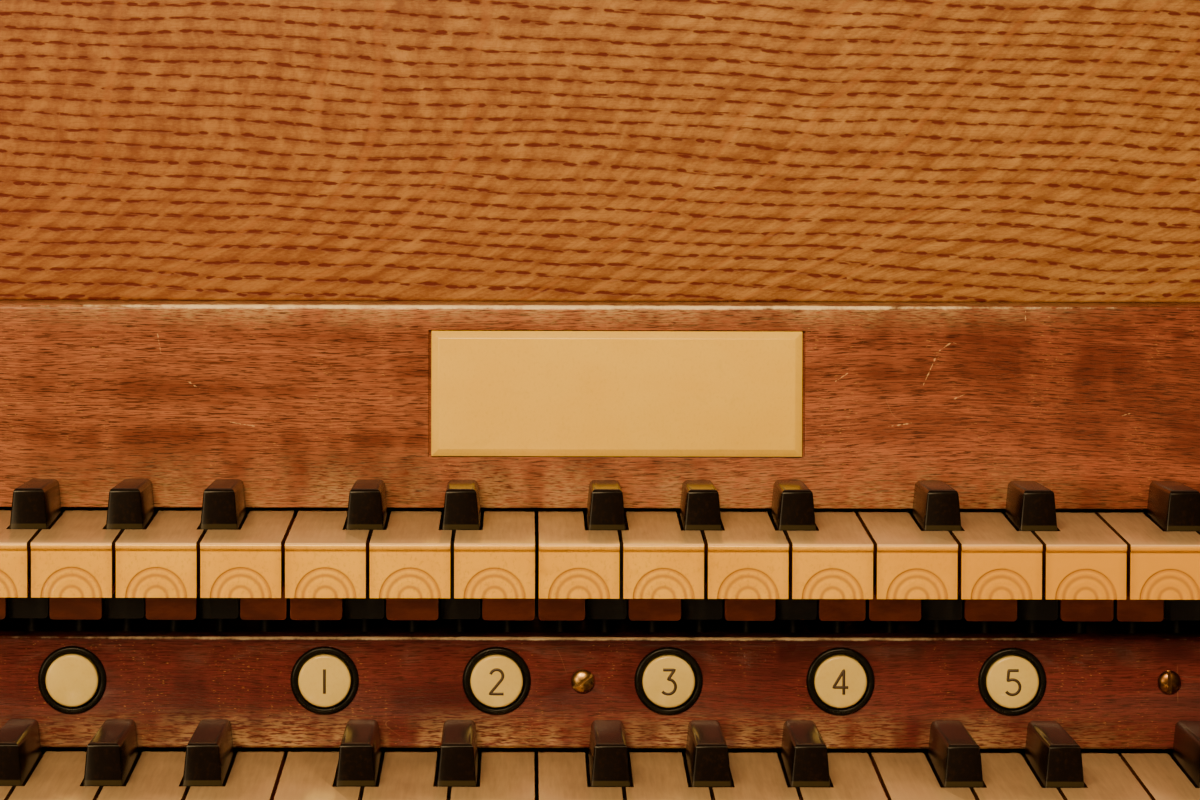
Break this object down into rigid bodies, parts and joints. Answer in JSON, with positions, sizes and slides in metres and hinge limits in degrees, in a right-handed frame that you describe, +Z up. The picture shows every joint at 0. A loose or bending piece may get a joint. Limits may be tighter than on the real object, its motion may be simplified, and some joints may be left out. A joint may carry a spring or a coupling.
{
  "type": "two-manual organ keydesk",
  "caption": "Organ keydesk: two stepped manuals of tail-pivoted keys, piston rail, nameboard with bare plate and oak music desk; middle upper keys and pistons move.",
  "frame": {"origin": "centre of the keydesk's flat underside", "axes": "+X to the treble end, +Y away from the player, +Z up"},
  "size_m": [0.969, 0.486, 0.4297],
  "materials": {
    "oak": "satin varnish",
    "mahogany": "polished",
    "rail_mahogany": "polished",
    "frame_wood": "bare",
    "felt": "matte",
    "steel": "drawn",
    "bone_key": "polished bone on wood",
    "ebony_key": "polished",
    "black_ring": "satin",
    "brass": "worn",
    "bone_plate": "polished bone",
    "ivory_piston": "polished"
  },
  "bodies": {
    "keydesk": {"keybed": "oak", "side_left": "oak", "side_right": "oak", "key_slip": "mahogany", "lower_cheek_left": "mahogany", "lower_cheek_right": "mahogany", "lower_key_rails": "frame_wood", "lower_felt": "felt", "lower_pivot_rod": "steel", "lower_naturals": "bone_key", "lower_sharps": "ebony_key", "upper_key_frame": "frame_wood", "upper_felt": "felt", "upper_cheek_left": "mahogany", "upper_cheek_right": "mahogany", "upper_pivot_rod": "steel", "bass_naturals": "bone_key", "bass_sharps": "ebony_key", "treble_naturals": "bone_key", "treble_sharps": "ebony_key", "piston_rail": "rail_mahogany", "piston_bezels": "black_ring", "rail_screws": "brass", "nameboard": "mahogany", "nameboard_plate": "bone_plate", "back_board": "oak", "top_board": "oak", "music_desk": "oak", "desk_brackets": "oak"},
    "key_f3": {"key_f3": "bone_key"},
    "key_g3": {"key_g3": "bone_key"},
    "key_a3": {"key_a3": "bone_key"},
    "key_b3": {"key_b3": "bone_key"},
    "key_c4": {"key_c4": "bone_key"},
    "key_d4": {"key_d4": "bone_key"},
    "key_e4": {"key_e4": "bone_key"},
    "key_f4": {"key_f4": "bone_key"},
    "key_g4": {"key_g4": "bone_key"},
    "key_a4": {"key_a4": "bone_key"},
    "key_b4": {"key_b4": "bone_key"},
    "key_c5": {"key_c5": "bone_key"},
    "key_d5": {"key_d5": "bone_key"},
    "key_e5": {"key_e5": "bone_key"},
    "key_f5": {"key_f5": "bone_key"},
    "key_f_sharp3": {"key_f_sharp3": "ebony_key"},
    "key_g_sharp3": {"key_g_sharp3": "ebony_key"},
    "key_a_sharp3": {"key_a_sharp3": "ebony_key"},
    "key_c_sharp4": {"key_c_sharp4": "ebony_key"},
    "key_d_sharp4": {"key_d_sharp4": "ebony_key"},
    "key_f_sharp4": {"key_f_sharp4": "ebony_key"},
    "key_g_sharp4": {"key_g_sharp4": "ebony_key"},
    "key_a_sharp4": {"key_a_sharp4": "ebony_key"},
    "key_c_sharp5": {"key_c_sharp5": "ebony_key"},
    "key_d_sharp5": {"key_d_sharp5": "ebony_key"},
    "piston_plain": {"piston_plain": "ivory_piston"},
    "piston_1": {"piston_1": "ivory_piston"},
    "piston_2": {"piston_2": "ivory_piston"},
    "piston_3": {"piston_3": "ivory_piston"},
    "piston_4": {"piston_4": "ivory_piston"},
    "piston_5": {"piston_5": "ivory_piston"}
  },
  "joints": [
    {"name": "key_f3_dip", "type": "hinge", "parent": "keydesk", "child": "key_f3", "pos_m": [0, 0.20305, 0.11938], "axis": [1, 0, 0], "range_deg": [0, 1.71], "stiffness_Nm_per_rad": 2, "springref_deg": -11.46},
    {"name": "key_g3_dip", "type": "hinge", "parent": "keydesk", "child": "key_g3", "pos_m": [0, 0.20305, 0.11938], "axis": [1, 0, 0], "range_deg": [0, 1.71], "stiffness_Nm_per_rad": 2, "springref_deg": -11.46},
    {"name": "key_a3_dip", "type": "hinge", "parent": "keydesk", "child": "key_a3", "pos_m": [0, 0.20305, 0.11938], "axis": [1, 0, 0], "range_deg": [0, 1.71], "stiffness_Nm_per_rad": 2, "springref_deg": -11.46},
    {"name": "key_b3_dip", "type": "hinge", "parent": "keydesk", "child": "key_b3", "pos_m": [0, 0.20305, 0.11938], "axis": [1, 0, 0], "range_deg": [0, 1.71], "stiffness_Nm_per_rad": 2, "springref_deg": -11.46},
    {"name": "key_c4_dip", "type": "hinge", "parent": "keydesk", "child": "key_c4", "pos_m": [0, 0.20305, 0.11938], "axis": [1, 0, 0], "range_deg": [0, 1.71], "stiffness_Nm_per_rad": 2, "springref_deg": -11.46},
    {"name": "key_d4_dip", "type": "hinge", "parent": "keydesk", "child": "key_d4", "pos_m": [0, 0.20305, 0.11938], "axis": [1, 0, 0], "range_deg": [0, 1.71], "stiffness_Nm_per_rad": 2, "springref_deg": -11.46},
    {"name": "key_e4_dip", "type": "hinge", "parent": "keydesk", "child": "key_e4", "pos_m": [0, 0.20305, 0.11938], "axis": [1, 0, 0], "range_deg": [0, 1.71], "stiffness_Nm_per_rad": 2, "springref_deg": -11.46},
    {"name": "key_f4_dip", "type": "hinge", "parent": "keydesk", "child": "key_f4", "pos_m": [0, 0.20305, 0.11938], "axis": [1, 0, 0], "range_deg": [0, 1.71], "stiffness_Nm_per_rad": 2, "springref_deg": -11.46},
    {"name": "key_g4_dip", "type": "hinge", "parent": "keydesk", "child": "key_g4", "pos_m": [0, 0.20305, 0.11938], "axis": [1, 0, 0], "range_deg": [0, 1.71], "stiffness_Nm_per_rad": 2, "springref_deg": -11.46},
    {"name": "key_a4_dip", "type": "hinge", "parent": "keydesk", "child": "key_a4", "pos_m": [0, 0.20305, 0.11938], "axis": [1, 0, 0], "range_deg": [0, 1.71], "stiffness_Nm_per_rad": 2, "springref_deg": -11.46},
    {"name": "key_b4_dip", "type": "hinge", "parent": "keydesk", "child": "key_b4", "pos_m": [0, 0.20305, 0.11938], "axis": [1, 0, 0], "range_deg": [0, 1.71], "stiffness_Nm_per_rad": 2, "springref_deg": -11.46},
    {"name": "key_c5_dip", "type": "hinge", "parent": "keydesk", "child": "key_c5", "pos_m": [0, 0.20305, 0.11938], "axis": [1, 0, 0], "range_deg": [0, 1.71], "stiffness_Nm_per_rad": 2, "springref_deg": -11.46},
    {"name": "key_d5_dip", "type": "hinge", "parent": "keydesk", "child": "key_d5", "pos_m": [0, 0.20305, 0.11938], "axis": [1, 0, 0], "range_deg": [0, 1.71], "stiffness_Nm_per_rad": 2, "springref_deg": -11.46},
    {"name": "key_e5_dip", "type": "hinge", "parent": "keydesk", "child": "key_e5", "pos_m": [0, 0.20305, 0.11938], "axis": [1, 0, 0], "range_deg": [0, 1.71], "stiffness_Nm_per_rad": 2, "springref_deg": -11.46},
    {"name": "key_f5_dip", "type": "hinge", "parent": "keydesk", "child": "key_f5", "pos_m": [0, 0.20305, 0.11938], "axis": [1, 0, 0], "range_deg": [0, 1.71], "stiffness_Nm_per_rad": 2, "springref_deg": -11.46},
    {"name": "key_f_sharp3_dip", "type": "hinge", "parent": "keydesk", "child": "key_f_sharp3", "pos_m": [0, 0.20305, 0.11938], "axis": [1, 0, 0], "range_deg": [0, 1.71], "stiffness_Nm_per_rad": 2, "springref_deg": -11.46},
    {"name": "key_g_sharp3_dip", "type": "hinge", "parent": "keydesk", "child": "key_g_sharp3", "pos_m": [0, 0.20305, 0.11938], "axis": [1, 0, 0], "range_deg": [0, 1.71], "stiffness_Nm_per_rad": 2, "springref_deg": -11.46},
    {"name": "key_a_sharp3_dip", "type": "hinge", "parent": "keydesk", "child": "key_a_sharp3", "pos_m": [0, 0.20305, 0.11938], "axis": [1, 0, 0], "range_deg": [0, 1.71], "stiffness_Nm_per_rad": 2, "springref_deg": -11.46},
    {"name": "key_c_sharp4_dip", "type": "hinge", "parent": "keydesk", "child": "key_c_sharp4", "pos_m": [0, 0.20305, 0.11938], "axis": [1, 0, 0], "range_deg": [0, 1.71], "stiffness_Nm_per_rad": 2, "springref_deg": -11.46},
    {"name": "key_d_sharp4_dip", "type": "hinge", "parent": "keydesk", "child": "key_d_sharp4", "pos_m": [0, 0.20305, 0.11938], "axis": [1, 0, 0], "range_deg": [0, 1.71], "stiffness_Nm_per_rad": 2, "springref_deg": -11.46},
    {"name": "key_f_sharp4_dip", "type": "hinge", "parent": "keydesk", "child": "key_f_sharp4", "pos_m": [0, 0.20305, 0.11938], "axis": [1, 0, 0], "range_deg": [0, 1.71], "stiffness_Nm_per_rad": 2, "springref_deg": -11.46},
    {"name": "key_g_sharp4_dip", "type": "hinge", "parent": "keydesk", "child": "key_g_sharp4", "pos_m": [0, 0.20305, 0.11938], "axis": [1, 0, 0], "range_deg": [0, 1.71], "stiffness_Nm_per_rad": 2, "springref_deg": -11.46},
    {"name": "key_a_sharp4_dip", "type": "hinge", "parent": "keydesk", "child": "key_a_sharp4", "pos_m": [0, 0.20305, 0.11938], "axis": [1, 0, 0], "range_deg": [0, 1.71], "stiffness_Nm_per_rad": 2, "springref_deg": -11.46},
    {"name": "key_c_sharp5_dip", "type": "hinge", "parent": "keydesk", "child": "key_c_sharp5", "pos_m": [0, 0.20305, 0.11938], "axis": [1, 0, 0], "range_deg": [0, 1.71], "stiffness_Nm_per_rad": 2, "springref_deg": -11.46},
    {"name": "key_d_sharp5_dip", "type": "hinge", "parent": "keydesk", "child": "key_d_sharp5", "pos_m": [0, 0.20305, 0.11938], "axis": [1, 0, 0], "range_deg": [0, 1.71], "stiffness_Nm_per_rad": 2, "springref_deg": -11.46},
    {"name": "piston_plain_push", "type": "slide", "parent": "keydesk", "child": "piston_plain", "axis": [0, 1, 0], "range_m": [0, 0.002], "stiffness_N_per_m": 400, "springref_m": -0.003},
    {"name": "piston_1_push", "type": "slide", "parent": "keydesk", "child": "piston_1", "axis": [0, 1, 0], "range_m": [0, 0.002], "stiffness_N_per_m": 400, "springref_m": -0.003},
    {"name": "piston_2_push", "type": "slide", "parent": "keydesk", "child": "piston_2", "axis": [0, 1, 0], "range_m": [0, 0.002], "stiffness_N_per_m": 400, "springref_m": -0.003},
    {"name": "piston_3_push", "type": "slide", "parent": "keydesk", "child": "piston_3", "axis": [0, 1, 0], "range_m": [0, 0.002], "stiffness_N_per_m": 400, "springref_m": -0.003},
    {"name": "piston_4_push", "type": "slide", "parent": "keydesk", "child": "piston_4", "axis": [0, 1, 0], "range_m": [0, 0.002], "stiffness_N_per_m": 400, "springref_m": -0.003},
    {"name": "piston_5_push", "type": "slide", "parent": "keydesk", "child": "piston_5", "axis": [0, 1, 0], "range_m": [0, 0.002], "stiffness_N_per_m": 400, "springref_m": -0.003}
  ]
}
